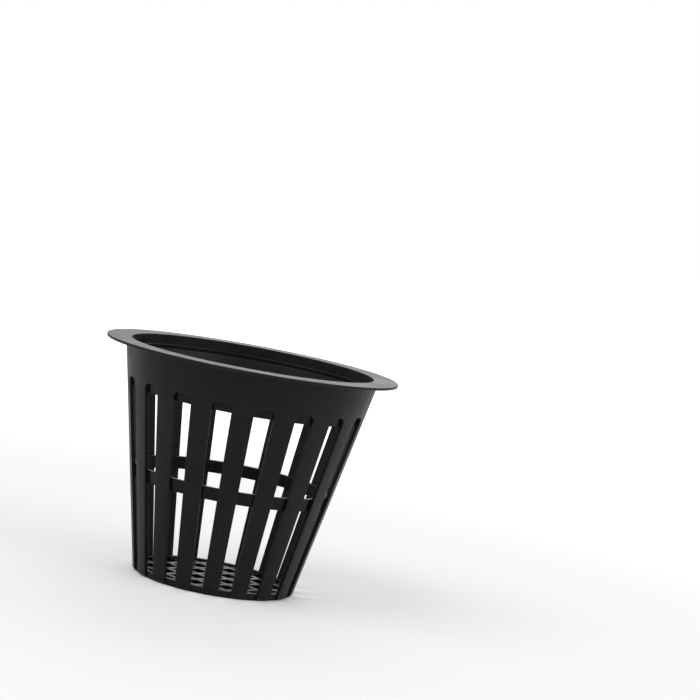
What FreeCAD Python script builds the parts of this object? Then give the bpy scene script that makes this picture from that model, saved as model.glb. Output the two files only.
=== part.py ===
import FreeCAD, Part
import math
import os
import Sketcher

# Net pot for hydroponics: one thin black moulding, a slatted cone that narrows to a mesh floor.
# The wall is made of two crossed layers. The outer layer is cut by upright slots, which leaves the ribs.
# The inner layer is three hoops: a deep band under the mouth, one at mid height and one round the floor.
# Light passes only where a slot meets the space between two hoops.
# Frame: +Z up, origin at the middle of the base, slots centred on multiples of the slot spacing from +X.

DRIVING_SIZES = {
    "pot_height": 46.7,
    "mouth_outer_diameter": 52.3,
    "base_diameter": 33.1,
    "rib_thickness": 0.8,
    "flange_width": 3.85,
    "flange_thickness": 0.6,
    "flange_root_chamfer": 0.4,
    "flange_edge_chamfer": 0.12,
    "collar_depth": 2.0,
    "foot_chamfer": 0.5,
    "slot_count": 18,
    "slot_top_width": 4.05,
    "slot_foot_width": 2.5,
    "slot_corner_radius": 1.3,
    "plain_band_depth": 7.4,
    "top_hoop_reach": 1.9,
    "top_hoop_thickness": 0.5,
    "bead_depth": 0.6,
    "bead_groove": 0.25,
    "mid_hoop_level": 19.3,
    "mid_hoop_depth": 2.6,
    "mid_hoop_thickness": 0.4,
    "base_hoop_depth": 1.4,
    "base_hoop_thickness": 0.6,
    "layer_bond": 0.05,
    "floor_thickness": 1.0,
    "mesh_pitch": 4.5,
    "mesh_bar_width": 1.3,
    "mesh_angle": 45,
}

# Sizes worked out from the driving ones. A hoop keys into the ribs by the layer bond, or more.
DERIVED_SIZES = {
    "base_radius": "base_diameter / 2",
    "wall_slope": "(mouth_outer_diameter - base_diameter) / 2 / pot_height",
    "rib_inner_foot": "base_radius - rib_thickness",
    "flange_radius": "mouth_outer_diameter / 2 + flange_width",
    "flange_underside": "pot_height - flange_thickness",
    "ledge_level": "pot_height - collar_depth",
    "mouth_radius": "rib_inner_foot + wall_slope * ledge_level",
    "slot_top_level": "pot_height - plain_band_depth",
    "slot_foot_level": "-1 * foot_chamfer",
    "window_top_level": "slot_top_level - top_hoop_reach",
    "mid_hoop_top": "mid_hoop_level + mid_hoop_depth",
    "hoop_key_foot": "rib_inner_foot + layer_bond",
    "base_hoop_foot": "base_radius - foot_chamfer",
    "bead_level": "ledge_level - bead_depth",
    "bead_radius": "mouth_radius - top_hoop_thickness",
    "groove_level": "bead_level - bead_groove",
    "floor_clear_radius": "rib_inner_foot - base_hoop_thickness",
    "mesh_hole": "mesh_pitch - mesh_bar_width",
    "mesh_rows": "2 * ceil(hoop_key_foot / mesh_pitch) + 1",
    "mesh_start": "-mesh_pitch * (mesh_rows - 1) / 2",
}

# Closer than this, two lengths or two volumes count as the same.
TOLERANCE = 1e-4

doc = FreeCAD.newDocument("net_pot")


def fill_sheet(sheet):
    names = list(DRIVING_SIZES) + list(DERIVED_SIZES)
    for row, name in enumerate(names, start=1):
        sheet.set(f"A{row}", name)
        content = DERIVED_SIZES.get(name)
        sheet.set(f"B{row}", f"={content}" if content else str(DRIVING_SIZES[name]))
        sheet.setAlias(f"B{row}", name)
        doc.recompute()


sheet = doc.addObject("Spreadsheet::Sheet", "sizes")
fill_sheet(sheet)


def sized(formula):
    # A formula of size names, with each name pointed at the sheet.
    words = formula.replace("(", "( ").replace(")", " )").split()
    return " ".join(f"sizes.{word}" if word[0].isalpha() else word for word in words)


def value_of(formula):
    value = sheet.evalExpression(sized(formula))
    return float(getattr(value, "Value", value))


def bind(thing, prop, formula):
    thing.setExpression(prop, sized(formula))


def new_sketch(body, name, plane_role):
    sketch = body.newObject("Sketcher::SketchObject", name)
    plane = next(item for item in body.Origin.OriginFeatures if item.Role == plane_role)
    sketch.AttachmentSupport = [(plane, "")]
    sketch.MapMode = "FlatFace"
    return sketch


def fix_coordinate(sketch, kind, geometry, point, formula):
    # A coordinate of zero puts the point on the sketch's own axis. Any other is a bound distance.
    if formula == "0":
        axis = -1 if kind == "DistanceY" else -2
        sketch.addConstraint(Sketcher.Constraint("PointOnObject", geometry, point, axis))
        return
    value = value_of(formula)
    index = sketch.addConstraint(Sketcher.Constraint(kind, -1, 1, geometry, point, value))
    bind(sketch, f"Constraints[{index}]", formula)


def draw_outline(sketch, corners, arc_centres=None):
    # A closed outline through the corners, given as pairs of formulas. Sides are straight, apart from
    # those listed with the formulas of their arc's centre, which run anticlockwise.
    arc_centres = arc_centres or {}
    points = [FreeCAD.Vector(value_of(across), value_of(up), 0) for across, up in corners]
    count = len(points)
    for side in range(count):
        begin, finish = points[side], points[(side + 1) % count]
        if side in arc_centres:
            centre = FreeCAD.Vector(*[value_of(formula) for formula in arc_centres[side]], 0)
            angles = [math.atan2(*reversed(list(end - centre)[:2])) for end in (begin, finish)]
            circle = Part.Circle(centre, FreeCAD.Vector(0, 0, 1), (begin - centre).Length)
            sketch.addGeometry(Part.ArcOfCircle(circle, *angles), False)
        else:
            sketch.addGeometry(Part.LineSegment(begin, finish), False)
    for side in range(count):
        following = (side + 1) % count
        sketch.addConstraint(Sketcher.Constraint("Coincident", side, 2, following, 1))
        across, up = corners[side]
        fix_coordinate(sketch, "DistanceX", side, 1, across)
        fix_coordinate(sketch, "DistanceY", side, 1, up)
        if side in arc_centres:
            fix_coordinate(sketch, "DistanceX", side, 3, arc_centres[side][0])


def revolve(body, name, corners):
    sketch = new_sketch(body, f"{name}_profile", "XZ_Plane")
    draw_outline(sketch, corners)
    turned = body.newObject("PartDesign::Revolution", name)
    turned.Profile = sketch
    turned.ReferenceAxis = (sketch, ["V_Axis"])
    turned.Angle = 360
    doc.recompute()


def on_cone(foot_radius, level):
    # Radius, at a level, of a cone that is parallel to the wall.
    return f"{foot_radius} + wall_slope * ( {level} )"


def ring_edge(shape, radius, level):
    # Name of the full circle with this radius, at this level.
    for number, edge in enumerate(shape.Edges, start=1):
        curve = edge.Curve
        if not isinstance(curve, Part.Circle) or len(edge.Vertexes) > 1:
            continue
        if abs(curve.Radius - radius) < TOLERANCE and abs(curve.Center.z - level) < TOLERANCE:
            return f"Edge{number}"
    raise ValueError(f"no ring of radius {radius} at level {level}")


def chamfer_rings(body, name, rings, size):
    # A chamfer on full circles, each given by its radius and its level.
    base = body.Tip
    edges = [ring_edge(base.Shape, value_of(radius), value_of(level)) for radius, level in rings]
    chamfer = body.newObject("PartDesign::Chamfer", name)
    chamfer.Base = (base, edges)
    bind(chamfer, "Size", size)
    doc.recompute()


def expect_less(before, after):
    if after.Shape.Volume > before.Shape.Volume - TOLERANCE:
        raise ValueError(f"{after.Name} removed nothing")


def make_ribbed_wall(body):
    # Outer layer: flange, plain collar and cone in one turn, then the slots round it.
    revolve(body, "wall", [
        ("rib_inner_foot", "0"),
        ("base_radius - foot_chamfer", "0"),
        (on_cone("base_radius", "foot_chamfer"), "foot_chamfer"),
        (on_cone("base_radius", "flange_underside"), "flange_underside"),
        ("flange_radius", "flange_underside"),
        ("flange_radius", "pot_height"),
        ("mouth_radius", "pot_height"),
        ("mouth_radius", "ledge_level"),
    ])
    chamfer_rings(body, "flange_root", [
        (on_cone("base_radius", "flange_underside"), "flange_underside"),
    ], "flange_root_chamfer")
    chamfer_rings(body, "flange_edges", [
        ("flange_radius", "flange_underside"),
        ("flange_radius", "pot_height"),
        ("mouth_radius", "pot_height"),
    ], "flange_edge_chamfer")


def make_slots(body):
    # One slot: it widens upward with the cone, has rounded top corners and is open at the foot,
    # where its outline runs a little below the base.
    uncut = body.Tip
    sketch = new_sketch(body, "slot_outline", "YZ_Plane")
    half_foot = "slot_foot_width / 2"
    half_top = "slot_top_width / 2"
    corner_level = "slot_top_level - slot_corner_radius"
    draw_outline(sketch, [
        (f"-1 * {half_foot}", "slot_foot_level"),
        (half_foot, "slot_foot_level"),
        (half_top, corner_level),
        (f"{half_top} - slot_corner_radius", "slot_top_level"),
        (f"slot_corner_radius - {half_top}", "slot_top_level"),
        (f"-1 * {half_top}", corner_level),
    ], {
        2: (f"{half_top} - slot_corner_radius", corner_level),
        4: (f"slot_corner_radius - {half_top}", corner_level),
    })
    slot = body.newObject("PartDesign::Pocket", "slot")
    slot.Profile = sketch
    slot.Type = "Length"
    slot.Reversed = True
    bind(slot, "Length", "flange_radius")
    doc.recompute()
    expect_less(uncut, slot)
    ring = body.newObject("PartDesign::PolarPattern", "slots")
    ring.Originals = [slot]
    ring.Axis = (sketch, ["V_Axis"])
    ring.Angle = 360
    bind(ring, "Occurrences", "slot_count")
    body.Tip = ring
    doc.recompute()
    expect_less(slot, ring)


def make_floor(body):
    # A thin disc, pierced by square holes on a grid that runs past its rim.
    disc_sketch = new_sketch(body, "floor_outline", "XY_Plane")
    circle = Part.Circle(FreeCAD.Vector(0, 0, 0), FreeCAD.Vector(0, 0, 1), value_of("hoop_key_foot"))
    disc_sketch.addGeometry(circle, False)
    disc_sketch.addConstraint(Sketcher.Constraint("Coincident", 0, 3, -1, 1))
    disc_sketch.addConstraint(Sketcher.Constraint("Radius", 0, value_of("hoop_key_foot")))
    bind(disc_sketch, "Constraints[1]", "hoop_key_foot")
    disc = body.newObject("PartDesign::Pad", "floor_disc")
    disc.Profile = disc_sketch
    bind(disc, "Length", "floor_thickness")
    doc.recompute()

    hole_sketch = new_sketch(body, "mesh_hole_outline", "XY_Plane")
    turn = FreeCAD.Rotation(FreeCAD.Vector(0, 0, 1), value_of("mesh_angle"))
    hole_sketch.AttachmentOffset = FreeCAD.Placement(FreeCAD.Vector(0, 0, 0), turn)
    bind(hole_sketch, "AttachmentOffset.Rotation.Angle", "mesh_angle")
    low, high = "mesh_start - mesh_hole / 2", "mesh_start + mesh_hole / 2"
    draw_outline(hole_sketch, [(low, low), (high, low), (high, high), (low, high)])
    hole = body.newObject("PartDesign::Pocket", "mesh_hole")
    hole.Profile = hole_sketch
    hole.Type = "Length"
    hole.Reversed = True
    bind(hole, "Length", "floor_thickness")
    doc.recompute()
    grid = body.newObject("PartDesign::LinearPattern", "mesh")
    grid.Originals = [hole]
    grid.Direction = (hole_sketch, ["H_Axis"])
    grid.Direction2 = (hole_sketch, ["V_Axis"])
    grid.Mode = "Spacing"
    grid.Mode2 = "Spacing"
    bind(grid, "Offset", "mesh_pitch")
    bind(grid, "Offset2", "mesh_pitch")
    bind(grid, "Occurrences", "mesh_rows")
    bind(grid, "Occurrences2", "mesh_rows")
    body.Tip = grid
    doc.recompute()
    expect_less(disc, grid)


def make_hoops(body):
    # Inner layer. The base hoop also fills the slots' feet, out to the chamfered foot of the ribs. The
    # outer face of the other two is a cone that bites into the ribs by the layer bond.
    revolve(body, "base_hoop", [
        ("floor_clear_radius", "0"),
        ("base_hoop_foot", "0"),
        (on_cone("base_hoop_foot", "base_hoop_depth"), "base_hoop_depth"),
        ("floor_clear_radius", "base_hoop_depth"),
    ])
    inner = f"{on_cone('rib_inner_foot', 'mid_hoop_level')} - mid_hoop_thickness"
    revolve(body, "mid_hoop", [
        (inner, "mid_hoop_level"),
        (on_cone("hoop_key_foot", "mid_hoop_level"), "mid_hoop_level"),
        (on_cone("hoop_key_foot", "mid_hoop_top"), "mid_hoop_top"),
        (inner, "mid_hoop_top"),
    ])
    # The top hoop ends in a bead at the ledge where nested pots stop, with a fine groove under it.
    inner_foot = "rib_inner_foot - top_hoop_thickness"
    revolve(body, "top_hoop", [
        (on_cone(inner_foot, "window_top_level"), "window_top_level"),
        (on_cone("hoop_key_foot", "window_top_level"), "window_top_level"),
        (on_cone("hoop_key_foot", "ledge_level"), "ledge_level"),
        ("bead_radius", "ledge_level"),
        ("bead_radius", "bead_level"),
        ("bead_radius + bead_groove", "bead_level"),
        ("bead_radius + bead_groove", "groove_level"),
        (on_cone(inner_foot, "groove_level"), "groove_level"),
    ])


def make_net_pot():
    body = doc.addObject("PartDesign::Body", "net_pot")
    body.Label = "net_pot"
    make_ribbed_wall(body)
    make_slots(body)
    make_floor(body)
    make_hoops(body)
    return body


def check_document():
    doc.recompute()
    for item in doc.Objects:
        if "Invalid" in item.State or "Error" in item.State:
            raise ValueError(f"{item.Name} failed: {item.State}")


def write_node(body):
    shape = body.Shape
    if shape.isNull() or not shape.isValid() or len(shape.Solids) != 1:
        raise ValueError(f"{body.Label} is not one valid solid")
    os.makedirs("parts", exist_ok=True)
    shape.exportStep(os.path.join("parts", f"{body.Label}.step"))
    box = shape.optimalBoundingBox(False)
    print(f"{body.Label}: {box.XLength:.2f} x {box.YLength:.2f} x {box.ZLength:.2f} mm, {shape.Volume:.0f} mm3")


net_pot = make_net_pot()
check_document()
write_node(net_pot)
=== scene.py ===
# A net pot for hydroponics in black moulded plastic: a ribbed wall, three hoops inside it and a mesh
# floor. The dictionaries hold what a user would change, in millimetres and degrees, apart from the
# stage and the camera, which are in metres. Meshes are made in metres.

import bmesh
import bpy
import numpy as np
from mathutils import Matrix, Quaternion, Vector


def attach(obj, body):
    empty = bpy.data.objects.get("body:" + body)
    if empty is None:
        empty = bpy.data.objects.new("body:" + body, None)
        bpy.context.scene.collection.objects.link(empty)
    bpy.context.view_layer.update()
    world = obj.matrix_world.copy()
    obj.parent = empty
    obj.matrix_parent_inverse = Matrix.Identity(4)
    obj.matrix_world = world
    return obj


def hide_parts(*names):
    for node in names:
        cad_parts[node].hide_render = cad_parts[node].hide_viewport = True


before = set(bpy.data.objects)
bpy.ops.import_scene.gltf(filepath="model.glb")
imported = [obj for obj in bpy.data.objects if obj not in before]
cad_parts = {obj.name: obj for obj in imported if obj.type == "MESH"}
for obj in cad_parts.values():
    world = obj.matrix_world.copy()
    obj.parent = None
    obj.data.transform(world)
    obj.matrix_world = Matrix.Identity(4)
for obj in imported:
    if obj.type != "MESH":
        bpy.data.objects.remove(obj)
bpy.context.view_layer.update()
print("frame loaded")

mm = 0.001

# Sizes that several pieces share. The wall's radius grows with height by the slope.
pot = {
    "height": 46.7,
    "baseRadius": 16.55,
    "slope": 0.20557,
    "wallThickness": 0.8,
    "ledgeLevel": 44.7,
    "bond": 0.05,  # how far a hoop bites into the ribs
    "sectors": 18,
    "stepsPerSector": 16,
}
weldReach = 0.0005  # points closer than this become one
flatStart = 1.3  # a flat starts this many setbacks from its corner


# Radius of the wall's outer face at a level: the base's radius plus slope times level.
def outerRadius(level):
    return pot["baseRadius"] + pot["slope"] * level


# The same for its inner face.
def innerRadius(level):
    return outerRadius(level) - pot["wallThickness"]


def softened(corners, setbacks, steps=4):
    # Each corner becomes a parabola from a point one setback before it to a point one setback after it.
    # A further point on each side keeps the flats between corners flat when the mesh is shaded.
    # The third column is how exposed a point is: 4 t (1 - t) on a proud corner, and 0 elsewhere.
    corners = np.array(corners, float)
    setbacks = np.array(setbacks, float)[:, None]
    toPrevious = np.roll(corners, 1, axis=0) - corners
    toNext = np.roll(corners, -1, axis=0) - corners
    toPrevious /= np.linalg.norm(toPrevious, axis=1, keepdims=True)
    toNext /= np.linalg.norm(toNext, axis=1, keepdims=True)
    before = corners + toPrevious * setbacks
    after = corners + toNext * setbacks
    t = np.linspace(0, 1, steps + 1)[None, :, None]
    pull = 2 * t * (1 - t)
    curve = (1 - t) ** 2 * before[:, None] + pull * corners[:, None] + t ** 2 * after[:, None]
    lead = (corners + toPrevious * setbacks * flatStart)[:, None]
    trail = (corners + toNext * setbacks * flatStart)[:, None]
    proud = toNext[:, 0] * toPrevious[:, 1] - toNext[:, 1] * toPrevious[:, 0] > 0
    exposed = np.zeros((len(corners), steps + 3, 1))
    exposed[:, 1:-1] = 4 * t * (1 - t) * proud[:, None, None]
    rounded = np.concatenate([lead, curve, trail], axis=1)
    return np.concatenate([rounded, exposed], axis=2).reshape(-1, 3)


def quadIndices(numbers):
    # Faces of a grid of vertex numbers, one for each cell.
    cells = [numbers[:-1, :-1], numbers[1:, :-1], numbers[1:, 1:], numbers[:-1, 1:]]
    return np.stack(cells, axis=-1).reshape(-1, 4)


def wrapped(numbers, axis):
    # The grid with its first row or column repeated at the end, which closes it.
    return np.concatenate([numbers, numbers.take([0], axis=axis)], axis=axis)


def turned(profile, angles):
    # A profile of radius and level carried round the pot's axis: (r cos a, r sin a, z).
    r, z, exposed = profile.T
    return np.stack([
        np.cos(angles)[:, None] * r,
        np.sin(angles)[:, None] * r,
        np.ones_like(angles)[:, None] * z,
        np.ones_like(angles)[:, None] * exposed,
    ], axis=-1)


def makePiece(name, points, faces, material, weld=False):
    # Points have four columns: a place and how exposed it is.
    points = points.reshape(-1, 4)
    mesh = bpy.data.meshes.new(name)
    mesh.from_pydata((points[:, :3] * mm).tolist(), [], faces.tolist())
    exposed = mesh.attributes.new("exposed", "FLOAT", "POINT")
    exposed.data.foreach_set("value", points[:, 3].astype(np.float32))
    if weld:
        work = bmesh.new()
        work.from_mesh(mesh)
        bmesh.ops.remove_doubles(work, verts=work.verts, dist=weldReach * mm)
        work.to_mesh(mesh)
        work.free()
    mesh.shade_smooth()
    mesh.materials.append(material)
    piece = bpy.data.objects.new(name, mesh)
    bpy.context.scene.collection.objects.link(piece)
    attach(piece, "root")
    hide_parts("net_pot")
    print(name, "has", len(mesh.polygons), "faces")


ringSteps = pot["sectors"] * pot["stepsPerSector"]
ringAngles = np.linspace(0, 2 * np.pi, ringSteps, endpoint=False)


def makeHoop(name, corners, setbacks, material):
    # A softened outline of radius and level, turned into a closed ring.
    profile = softened(corners, setbacks)
    points = turned(profile, ringAngles)
    numbers = np.arange(points[..., 0].size).reshape(points.shape[:2])
    numbers = wrapped(wrapped(numbers, 0), 1)
    makePiece(name, points, quadIndices(numbers), material)


# Finish. Colours are linear, scales are noise cells per metre and heights are metres.
plastic = {
    "colour": (0.0068, 0.0076, 0.0066),
    # The liner's colour is painted shade: the top and middle hoops and the mesh floor inside the pot are
    # the same plastic as the ribs, only made darker.
    "linerPaintedShadeColour": (0.0040, 0.0044, 0.0039),
    "wornColour": (0.021, 0.0215, 0.020),
    "scuffColour": (0.040, 0.040, 0.037),
    "dustColour": (0.060, 0.058, 0.052),
    "roughness": 0.41,
    "linerRoughness": 0.33,
    "roughnessSwing": 0.10,
    "specular": 0.18,
    "ior": 1.49,
    "grainScale": 3800.0,
    "peelScale": 900.0,
    "mottleScale": 170.0,
    "scuffScale": 1500.0,
    "peelShare": 0.8,  # height of the orange peel over that of the grain
    "deepShare": 0.7,  # darker end of the mottle over the colour
    "scuffShare": 0.6,
    "dustShare": 0.25,
    "grainHeight": 0.000026,
    "linerGrainHeight": 0.0000156,
}


def addNode(tree, kind, place, **settings):
    # A node at a place in the tree, with its own settings.
    node = tree.nodes.new(kind)
    node.location = place
    for name, value in settings.items():
        setattr(node, name, value)
    return node


def setInputs(node, **values):
    # Values for inputs by name, with underscores for spaces.
    for name, value in values.items():
        node.inputs[name.replace("_", " ")].default_value = value
    return node


def mathNode(tree, operation, place, first, second):
    # The result of an operation on two numbers or sockets.
    node = addNode(tree, "ShaderNodeMath", place, operation=operation)
    for socket, value in zip(node.inputs, (first, second)):
        if isinstance(value, (int, float)):
            socket.default_value = value
        else:
            tree.links.new(value, socket)
    return node.outputs[0]


def rangeNode(tree, place, value, low, high, toLow=0.0, toHigh=1.0):
    # A smooth step from toLow, where the value is low, to toHigh, where it is high.
    node = addNode(tree, "ShaderNodeMapRange", place, interpolation_type="SMOOTHSTEP")
    tree.links.new(value, node.inputs["Value"])
    setInputs(node, From_Min=low, From_Max=high, To_Min=toLow, To_Max=toHigh)
    return node.outputs["Result"]


def mixColours(tree, place, mask, first, second):
    # The first colour where the mask is 0, the second where it is 1.
    node = addNode(tree, "ShaderNodeMix", place, data_type="RGBA")
    tree.links.new(mask, node.inputs[0])
    for socket, value in zip((node.inputs[6], node.inputs[7]), (first, second)):
        if isinstance(value, tuple):
            socket.default_value = (*value, 1)
        else:
            tree.links.new(value, socket)
    return node.outputs[2]


def mouldedSurfaceGroup():
    # Grain, mottle, edge wear, scuffs and dust of a moulded surface, as a height and four masks.
    tree = bpy.data.node_groups.new("mouldedSurface", "ShaderNodeTree")
    face = tree.interface
    for name, key in (("Grain Scale", "grainScale"), ("Mottle Scale", "mottleScale")):
        socket = face.new_socket(name, in_out="INPUT", socket_type="NodeSocketFloat")
        socket.default_value = plastic[key]
    for name in ("Height", "Mottle", "Wear", "Scuff", "Dust"):
        face.new_socket(name, in_out="OUTPUT", socket_type="NodeSocketFloat")
    entry = addNode(tree, "NodeGroupInput", (-900, 0))
    leave = addNode(tree, "NodeGroupOutput", (700, 0))
    where = addNode(tree, "ShaderNodeTexCoord", (-900, 300)).outputs["Object"]

    def noise(place, scale, detail, roughness=0.5):
        node = addNode(tree, "ShaderNodeTexNoise", place)
        tree.links.new(where, node.inputs["Vector"])
        if isinstance(scale, (int, float)):
            node.inputs["Scale"].default_value = scale
        else:
            tree.links.new(scale, node.inputs["Scale"])
        return setInputs(node, Detail=detail, Roughness=roughness).outputs["Fac"]

    grain = noise((-600, 300), entry.outputs["Grain Scale"], 3.0, 0.6)
    mottle = noise((-600, 0), entry.outputs["Mottle Scale"], 4.0, 0.55)
    orangePeel = noise((-600, -300), plastic["peelScale"], 1.0)
    peel = mathNode(tree, "MULTIPLY", (-350, 150), orangePeel, plastic["peelShare"])
    height = mathNode(tree, "ADD", (-200, 300), grain, peel)
    tree.links.new(height, leave.inputs["Height"])
    tree.links.new(rangeNode(tree, (-200, 0), mottle, 0.3, 0.7), leave.inputs["Mottle"])

    geometry = addNode(tree, "ShaderNodeNewGeometry", (-600, -600))
    exposed = addNode(tree, "ShaderNodeAttribute", (-600, -450), attribute_name="exposed")
    edge = rangeNode(tree, (-350, -500), exposed.outputs["Fac"], 0.1, 0.9)
    patch = rangeNode(tree, (-350, -700), grain, 0.35, 0.65, 0.45, 1.0)
    tree.links.new(mathNode(tree, "MULTIPLY", (-100, -550), edge, patch), leave.inputs["Wear"])

    scuffNoise = noise((-600, -1250), plastic["scuffScale"], 2.0)
    fleck = rangeNode(tree, (-350, -1250), scuffNoise, 0.63, 0.72)
    bruised = rangeNode(tree, (-350, -1450), mottle, 0.5, 0.62)
    tree.links.new(mathNode(tree, "MULTIPLY", (-100, -1300), fleck, bruised), leave.inputs["Scuff"])

    split = addNode(tree, "ShaderNodeSeparateXYZ", (-350, -900))
    tree.links.new(geometry.outputs["Normal"], split.inputs[0])
    upward = rangeNode(tree, (-100, -850), split.outputs["Z"], 0.5, 0.95)
    speck = rangeNode(tree, (-100, -1050), mottle, 0.4, 0.75)
    tree.links.new(mathNode(tree, "MULTIPLY", (150, -900), upward, speck), leave.inputs["Dust"])
    return tree


surfaceGroup = mouldedSurfaceGroup()


def makePlastic(name, baseColour, roughness, grainHeight):
    material = bpy.data.materials.new(name)
    material.use_nodes = True
    tree = material.node_tree
    tree.nodes.clear()
    surface = addNode(tree, "ShaderNodeGroup", (-900, 0), node_tree=surfaceGroup)
    surface.inputs["Grain Scale"].default_value = plastic["grainScale"]
    surface.inputs["Mottle Scale"].default_value = plastic["mottleScale"]
    shader = addNode(tree, "ShaderNodeBsdfPrincipled", (300, 0))
    setInputs(shader, Specular_IOR_Level=plastic["specular"], IOR=plastic["ior"])
    out = addNode(tree, "ShaderNodeOutputMaterial", (600, 0))
    tree.links.new(shader.outputs[0], out.inputs["Surface"])
    deep = tuple(plastic["deepShare"] * c for c in baseColour)
    colour = mixColours(tree, (-600, 300), surface.outputs["Mottle"], deep, baseColour)
    colour = mixColours(tree, (-400, 300), surface.outputs["Wear"], colour, plastic["wornColour"])
    scuff = mathNode(tree, "MULTIPLY", (-600, 500), surface.outputs["Scuff"], plastic["scuffShare"])
    colour = mixColours(tree, (-300, 500), scuff, colour, plastic["scuffColour"])
    dust = mathNode(tree, "MULTIPLY", (-400, 100), surface.outputs["Dust"], plastic["dustShare"])
    colour = mixColours(tree, (-200, 300), dust, colour, plastic["dustColour"])
    tree.links.new(colour, shader.inputs["Base Color"])
    smooth, rough = (roughness + side * plastic["roughnessSwing"] / 2 for side in (-1, 1))
    rough = rangeNode(tree, (-400, -100), surface.outputs["Mottle"], 0.0, 1.0, smooth, rough)
    tree.links.new(rough, shader.inputs["Roughness"])
    bump = addNode(tree, "ShaderNodeBump", (0, -300))
    setInputs(bump, Strength=1.0, Distance=grainHeight)
    tree.links.new(surface.outputs["Height"], bump.inputs["Height"])
    tree.links.new(bump.outputs[0], shader.inputs["Normal"])
    return material


ribPlastic = makePlastic("ribPlastic", plastic["colour"], plastic["roughness"], plastic["grainHeight"])
# A darker copy of the plastic for the parts inside the pot, which paints shade into their colour.
linerPaintedShadePlastic = makePlastic(
    "linerPaintedShadePlastic", plastic["linerPaintedShadeColour"], plastic["linerRoughness"], plastic["linerGrainHeight"])
print("plastic ready")


# The ribbed wall, which carries the flange.
wall = {
    "slotTopWidth": 4.05,
    "slotFootWidth": 2.52,
    "slotCornerRadius": 1.3,
    "slotTopLevel": 39.3,
    "firstLevel": 1.5,  # lowest of the even steps up the slot's side, above the foot's chamfer
    "bandLevel": 41.2,  # above this the wall is a plain turned shape
    "edgeRound": 0.16,
    "edgeFlat": 1.4,  # the flats start this many rounds from the edge
    "footChamfer": 0.5,
    "footCrest": 0.04,  # the chamfer's upper edge stands out by this share of the chamfer
    "footLift": 0.02,  # keeps the ribs' undersides off the base hoop's
    "sideSteps": 16,
    "arcSteps": 8,
    "climbSteps": 4,  # rows between the slot's corner and the band
    "mouthRadius": 24.94,
    "flangeRadius": 30.0,
    "flangeThickness": 0.6,
    "flangeRoot": 0.55,
    "flangeEdge": 0.13,
    "ledgeEdge": 0.05,
}


def halfSlotOutline():
    # Left half of one slot's edge: up the side, round the corner, along the top to the middle.
    # With each point goes the point of the sector's border that faces it, as an angle and a level,
    # and how far the chamfer of the rib's foot sets the wall back there.
    corner = wall["slotCornerRadius"]
    cornerLevel = wall["slotTopLevel"] - corner
    halfTop = wall["slotTopWidth"] / 2
    halfFoot = wall["slotFootWidth"] / 2
    foot = wall["footChamfer"]
    half = pot["stepsPerSector"] // 2
    arcSteps, climbSteps = wall["arcSteps"], wall["climbSteps"]
    topSteps = half + climbSteps - arcSteps
    # Levels on the chamfer and just above it, as shares of its size.
    rise = np.array([0.0, 0.1, 0.5, 0.85, 0.93, 1.02, 1.15, 1.4])
    evenLevels = np.linspace(wall["firstLevel"], cornerLevel, wall["sideSteps"])
    levels = np.concatenate([wall["footLift"] + foot * rise, evenLevels])
    inset = foot * (1 - np.minimum(rise, 1) - wall["footCrest"] * (np.abs(rise - 1) < 0.1))
    inset = np.concatenate([inset, np.zeros(len(levels) - len(inset))])
    side = np.stack([-halfFoot - (halfTop - halfFoot) * levels / cornerLevel, levels], axis=1)
    turn = np.linspace(0, np.pi / 2, arcSteps + 1)[1:]
    arcAcross = -halfTop + corner * (1 - np.cos(turn))
    arc = np.stack([arcAcross, cornerLevel + corner * np.sin(turn)], axis=1)
    flatAcross = np.linspace(corner - halfTop, 0, topSteps + 1)[1:]
    flat = np.stack([flatAcross, np.full(topSteps, wall["slotTopLevel"])], axis=1)
    outline = np.concatenate([side, arc, flat])
    halfSector = np.pi / pot["sectors"]
    climb = np.linspace(cornerLevel, wall["bandLevel"], climbSteps + 1)[1:]
    across = np.linspace(-halfSector, 0, half + 1)
    borderLevel = np.concatenate([levels, climb, np.full(half, wall["bandLevel"])])
    borderAngle = np.concatenate([np.full(len(levels) + climbSteps - 1, -halfSector), across])
    inset = np.concatenate([inset, np.zeros(len(outline) - len(inset))])
    return outline, borderAngle, borderLevel, inset


def mirrored(values, sign=1):
    # The left half's values, then the same in reverse for the right half.
    return np.concatenate([values, sign * values[-2::-1]])


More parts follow.
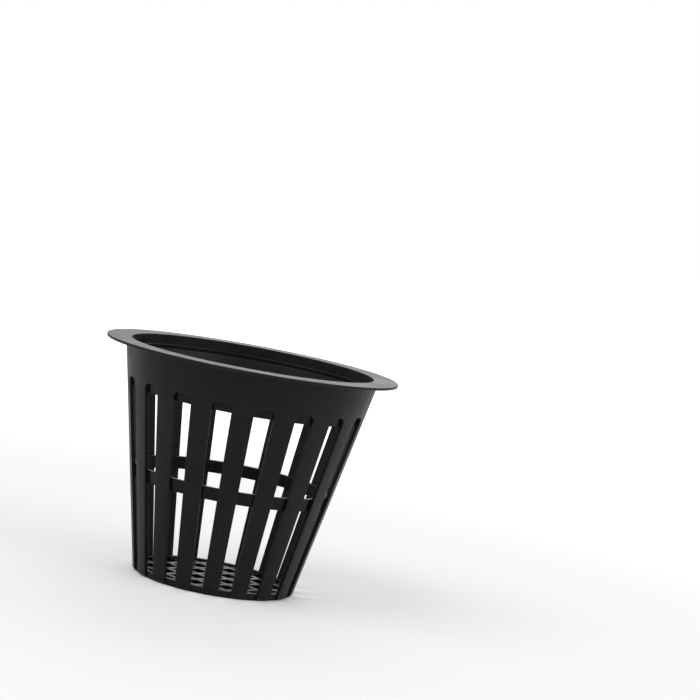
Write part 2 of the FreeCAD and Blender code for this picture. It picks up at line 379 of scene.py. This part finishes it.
def sectorPoints():
    # Two parameters: a place along the slot's edge, and a place across the wall, from the sector's border
    # over the outer face, round the edge into the slot, through the wall and back over the inner face.
    outline, borderAngle, borderLevel, inset = halfSlotOutline()
    y, z = mirrored(outline[:, 0], -1), mirrored(outline[:, 1])
    borderAngle, borderLevel = mirrored(borderAngle, -1), mirrored(borderLevel)
    inset = mirrored(inset)[:, None]
    bevel = wall["edgeRound"]
    thickness = pot["wallThickness"]
    turn = np.linspace(np.pi / 2, 0, 5)
    away = bevel * (1 - np.cos(turn))
    depth = bevel * (1 - np.sin(turn))
    shares = np.array([1.0, 0.7, 0.4])
    flat = bevel * wall["edgeFlat"]
    halfAway = np.concatenate([[flat], away, [0.0]])
    halfDepth = np.concatenate([[0.0], depth, [flat]])
    borderSide = outerRadius(borderLevel) * np.sin(borderAngle)
    borderReach = np.hypot(borderSide - y, borderLevel - z)[:, None]
    insetAway = halfAway[None, :] + inset
    farShare = np.broadcast_to(shares, (len(y), len(shares)))
    halfShare = np.concatenate([farShare, insetAway / borderReach], axis=1)
    halfDepth = np.concatenate([np.zeros(len(shares)), halfDepth])
    halfExposed = np.concatenate([np.zeros(len(shares) + 1), np.sin(2 * turn), [0.0]])
    share = np.concatenate([halfShare, halfShare[:, ::-1]], axis=1)
    depth = np.concatenate([halfDepth, thickness - halfDepth[::-1]])[None, :]
    depth = depth + inset * (1 - depth / thickness)
    z, y = z[:, None], y[:, None]
    level = z + (borderLevel[:, None] - z) * share
    radius = outerRadius(level) - depth
    side = y + (radius * np.sin(borderAngle)[:, None] - y) * share
    exposed = np.concatenate([halfExposed, halfExposed[::-1]])[None, :]
    exposed = np.broadcast_to(exposed, side.shape)
    return np.stack([np.sqrt(radius ** 2 - side ** 2), side, level, exposed], axis=-1)


def wallProfile():
    # From the band's outer foot up, out along the flange, over it, down the mouth to the ledge, and
    # down to the band's inner foot.
    under = pot["height"] - wall["flangeThickness"]
    corners = [
        (outerRadius(under), under),
        (wall["flangeRadius"], under),
        (wall["flangeRadius"], pot["height"]),
        (wall["mouthRadius"], pot["height"]),
    ]
    inside = (innerRadius(wall["bandLevel"]), wall["bandLevel"])
    ends = [(wall["mouthRadius"], pot["ledgeLevel"]), inside]
    start = (outerRadius(wall["bandLevel"]), wall["bandLevel"])
    edge = wall["flangeEdge"]
    setbacks = [wall["flangeRoot"], edge, edge, edge, wall["ledgeEdge"]]
    steps = 6
    profile = softened([start, *corners, *ends], [edge, *setbacks, edge], steps)
    perCorner = steps + 3  # the band's two feet stay sharp, where the sectors meet them
    return np.concatenate([[(*start, 0)], profile[perCorner:-perCorner], [(*inside, 0)]])


def makeRibbedWall():
    # The sector, closed at its feet and repeated round the axis, and the turned band welded on top.
    grid = sectorPoints()
    rows, columns = grid.shape[:2]
    numbers = np.arange(rows * columns).reshape(rows, columns)
    half = columns // 2
    across = np.stack([np.arange(half - 1), np.arange(1, half)], axis=1)
    facing = columns - 1 - across
    caps = []
    for row, order in ((0, 1), (rows - 1, -1)):
        cap = np.concatenate([numbers[row][across], numbers[row][facing[:, ::-1]]], axis=1)
        caps.append(cap[:, ::order])
    sectorFaces = np.concatenate([quadIndices(numbers)[:, ::-1], *caps])
    spins = 2 * np.pi * np.arange(pot["sectors"]) / pot["sectors"]
    c, s = np.cos(spins)[:, None], np.sin(spins)[:, None]
    flat = grid.reshape(-1, 4)
    sectors = np.stack([
        c * flat[:, 0] - s * flat[:, 1],
        s * flat[:, 0] + c * flat[:, 1],
        np.ones_like(c) * flat[:, 2],
        np.ones_like(c) * flat[:, 3],
    ], axis=-1)
    offsets = len(flat) * np.arange(pot["sectors"])[:, None, None]
    faces = (sectorFaces[None] + offsets).reshape(-1, 4)
    band = turned(wallProfile(), ringAngles)
    bandNumbers = sectors[..., 0].size + np.arange(band[..., 0].size).reshape(band.shape[:2])
    bandFaces = quadIndices(wrapped(bandNumbers, 0))
    points = np.concatenate([sectors.reshape(-1, 4), band.reshape(-1, 4)])
    makePiece("ribbed_wall", points, np.concatenate([faces, bandFaces]), ribPlastic, weld=True)


makeRibbedWall()

# The three hoops inside the ribs.
topHoop = {
    "low": 37.4,
    "thickness": 0.5,
    "beadRadius": 24.44,
    "beadLevel": 44.1,
    "grooveLevel": 43.85,
    "groove": 0.25,
}
midHoop = {"low": 19.3, "high": 21.9, "thickness": 0.4}
baseHoop = {"high": 1.4, "innerRadius": 15.15, "footRadius": 16.05}


# Radius of a hoop's outer face, which bites into the ribs by the bond.
def keyed(level):
    return innerRadius(level) + pot["bond"]


def makeTopHoop():
    # Up the outer face, in along the ledge, down the bead, out and down the groove, and down inside.
    low, inset = topHoop["low"], topHoop["thickness"]
    groove = topHoop["grooveLevel"]
    corners = [
        (innerRadius(low) - inset, low),
        (keyed(low), low),
        (keyed(pot["ledgeLevel"]), pot["ledgeLevel"]),
        (topHoop["beadRadius"], pot["ledgeLevel"]),
        (topHoop["beadRadius"], topHoop["beadLevel"]),
        (topHoop["beadRadius"] + topHoop["groove"], topHoop["beadLevel"]),
        (topHoop["beadRadius"] + topHoop["groove"], groove),
        (innerRadius(groove) - inset, groove),
    ]
    setbacks = [0.12, 0.03, 0.03, 0.12, 0.08, 0.05, 0.05, 0.08]
    makeHoop("top_hoop", corners, setbacks, linerPaintedShadePlastic)


def makeMidHoop():
    # An upright inner face, and an outer face that follows the ribs.
    low, high = midHoop["low"], midHoop["high"]
    inner = innerRadius(low) - midHoop["thickness"]
    corners = [(inner, low), (keyed(low), low), (keyed(high), high), (inner, high)]
    makeHoop("mid_hoop", corners, [0.12, 0.08, 0.08, 0.12], linerPaintedShadePlastic)


def makeBaseHoop():
    # The same, but wide enough to fill the slots' feet.
    high, inner, foot = baseHoop["high"], baseHoop["innerRadius"], baseHoop["footRadius"]
    corners = [(inner, 0), (foot, 0), (foot + pot["slope"] * high, high), (inner, high)]
    makeHoop("base_hoop", corners, [0.1, 0.1, 0.12, 0.12], ribPlastic)


makeTopHoop()
makeMidHoop()
makeBaseHoop()

# The mesh floor.
mesh = {
    "pitch": 4.5,
    "barWidth": 1.3,
    "thickness": 1.0,
    "angle": 45.0,
    "rimRadius": 15.5,
    "edgeRound": 0.15,
    "layerShrink": 0.03,
    "stepsAlong": 9,
}


def makeMeshFloor():
    # Two layers of straight bars. Each is a rounded strip with its ends on the rim:
    # u = t sqrt(R^2 - v^2), for a share t of the length and a place v across.
    # The second layer is a hair thinner, so that no two faces share a plane.
    half, high = mesh["barWidth"] / 2, mesh["thickness"]
    count = int(np.ceil(mesh["rimRadius"] / mesh["pitch"]))
    middles = mesh["pitch"] * (np.arange(-count, count) + 0.5)
    middles = middles[np.abs(middles) + half < mesh["rimRadius"]]
    along = np.linspace(-1, 1, mesh["stepsAlong"])
    points, faces, start = [], [], 0
    for layer in (0, 1):
        low, top = layer * mesh["layerShrink"], high - layer * mesh["layerShrink"]
        corners = [(-half, low), (half, low), (half, top), (-half, top)]
        section = softened(corners, [mesh["edgeRound"]] * len(corners))
        v = middles[:, None, None] + section[None, None, :, 0]
        u = along[None, :, None] * np.sqrt(mesh["rimRadius"] ** 2 - v ** 2)
        z, exposed = (np.broadcast_to(section[:, column], u.shape) for column in (1, 2))
        turn = np.radians(mesh["angle"] + 90 * layer)
        v = np.broadcast_to(v, u.shape)
        x, y = u * np.cos(turn) - v * np.sin(turn), u * np.sin(turn) + v * np.cos(turn)
        bars = np.stack([x, y, z, exposed], axis=-1)
        for bar in bars:
            numbers = np.arange(bar[..., 0].size).reshape(bar.shape[:2]) + start
            halfway = numbers.shape[1] // 2
            pairs = np.stack([np.arange(halfway - 1), np.arange(1, halfway)], axis=1)
            opposite = numbers.shape[1] - 1 - pairs[:, ::-1]
            ends = np.concatenate([pairs, opposite], axis=1)
            points.append(bar.reshape(-1, 4))
            faces += [quadIndices(wrapped(numbers, 1)), numbers[0][ends][:, ::-1]]
            faces.append(numbers[-1][ends])
            start += numbers.size
    makePiece("mesh_floor", np.concatenate(points), np.concatenate(faces), linerPaintedShadePlastic)


makeMeshFloor()

# Stage, lamps and camera. A lamp's power is in watts.
stage = {
    "floorColour": (0.86, 0.86, 0.86),
    "floorReach": 3.0,
    "floorSteps": 9,
    "floorLevel": -0.00002,  # just under the base
    "floorRoughness": 0.9,
    "floorSpecular": 0.1,
    "floorGlow": (0.12, 1.0),  # added for the camera alone, beside the pot and far from it
    "glowReach": (0.12, 0.45),  # metres from the pot where the glow starts and ends its rise
    "worldStrength": 0.45,
    "lampAim": (0.0, 0.0, 0.025),
    "key": {"spot": (-0.45, -0.35, 0.75), "size": 0.7, "power": 3.2},
    "fill": {"spot": (0.6, -0.3, 0.4), "size": 0.8, "power": 1.6},
    "back": {"spot": (0.1, 0.7, 0.6), "size": 0.8, "power": 2.4},
}

view = {
    "spot": (0.00106, -0.49770, 0.09242),
    "aim": (0.01914, 0.00256, 0.05157),
    "roll": 10.6,
    "lens": 126.3,
}


def makeFloor():
    # A level square sheet, whose glow for the camera alone rises with the distance from the pot.
    reach, count = stage["floorReach"], stage["floorSteps"]
    steps = np.linspace(-reach, reach, count)
    x, y = np.meshgrid(steps, steps, indexing="ij")
    grid = np.stack([x, y, np.full_like(x, stage["floorLevel"])], axis=-1)
    numbers = np.arange(count * count).reshape(count, count)
    sheet = bpy.data.meshes.new("studio_floor")
    sheet.from_pydata(grid.reshape(-1, 3).tolist(), [], quadIndices(numbers).tolist())
    floor = bpy.data.objects.new("studio_floor", sheet)
    bpy.context.scene.collection.objects.link(floor)
    material = bpy.data.materials.new("paleFloor")
    material.use_nodes = True
    tree = material.node_tree
    shader = tree.nodes["Principled BSDF"]
    setInputs(shader, Base_Color=(*stage["floorColour"], 1), Roughness=stage["floorRoughness"],
              Specular_IOR_Level=stage["floorSpecular"])
    path = addNode(tree, "ShaderNodeLightPath", (-600, -200))
    where = addNode(tree, "ShaderNodeTexCoord", (-1000, -400))
    away = addNode(tree, "ShaderNodeVectorMath", (-800, -400), operation="LENGTH")
    tree.links.new(where.outputs["Object"], away.inputs[0])
    distance = away.outputs["Value"]
    rise = rangeNode(tree, (-600, -400), distance, *stage["glowReach"], *stage["floorGlow"])
    glow = mathNode(tree, "MULTIPLY", (-300, -200), path.outputs["Is Camera Ray"], rise)
    shader.inputs["Emission Color"].default_value = (1, 1, 1, 1)
    tree.links.new(glow, shader.inputs["Emission Strength"])
    sheet.materials.append(material)


def makeWorld():
    # White to the camera and in reflections, and dimmer as a light.
    world = bpy.data.worlds.new("studio")
    bpy.context.scene.world = world
    world.use_nodes = True
    tree = world.node_tree
    tree.nodes.clear()
    path = addNode(tree, "ShaderNodeLightPath", (-900, 0))
    rays = path.outputs
    seen = mathNode(tree, "MAXIMUM", (-600, 100), rays["Is Camera Ray"], rays["Is Glossy Ray"])
    seen = mathNode(tree, "MAXIMUM", (-400, 100), seen, rays["Is Transmission Ray"])
    soft = addNode(tree, "ShaderNodeBackground", (-300, -50))
    setInputs(soft, Color=(1, 1, 1, 1), Strength=stage["worldStrength"])
    white = addNode(tree, "ShaderNodeBackground", (-300, -200))
    setInputs(white, Color=(1, 1, 1, 1), Strength=1.0)
    mix = addNode(tree, "ShaderNodeMixShader", (0, 0))
    out = addNode(tree, "ShaderNodeOutputWorld", (200, 0))
    tree.links.new(seen, mix.inputs[0])
    tree.links.new(soft.outputs[0], mix.inputs[1])
    tree.links.new(white.outputs[0], mix.inputs[2])
    tree.links.new(mix.outputs[0], out.inputs["Surface"])


def makeLamp(name):
    # A round soft lamp that faces the middle of the pot.
    facts = stage[name]
    lamp = bpy.data.lights.new(name + "_lamp", "AREA")
    lamp.shape = "DISK"
    lamp.size = facts["size"]
    lamp.energy = facts["power"]
    holder = bpy.data.objects.new(name + "_lamp", lamp)
    bpy.context.scene.collection.objects.link(holder)
    spot = Vector(facts["spot"])
    holder.location = spot
    holder.rotation_euler = (Vector(stage["lampAim"]) - spot).to_track_quat("-Z", "Y").to_euler()


def makeCamera():
    # It looks from the spot at the aim, and is then rolled about its line of sight.
    lens = bpy.data.cameras.new("camera")
    lens.lens = view["lens"]
    lens.sensor_width = 36.0
    lens.clip_start = 0.01
    lens.clip_end = 20.0
    camera = bpy.data.objects.new("camera", lens)
    bpy.context.scene.collection.objects.link(camera)
    spot, aim = Vector(view["spot"]), Vector(view["aim"])
    facing = (aim - spot).to_track_quat("-Z", "Y")
    camera.location = spot
    roll = Quaternion((0, 0, 1), np.radians(view["roll"]))
    camera.rotation_euler = (facing @ roll).to_euler()
    bpy.context.scene.camera = camera


makeFloor()
makeWorld()
for lampName in ("key", "fill", "back"):
    makeLamp(lampName)
makeCamera()
bpy.context.scene.view_settings.view_transform = "Standard"
print("stage ready")
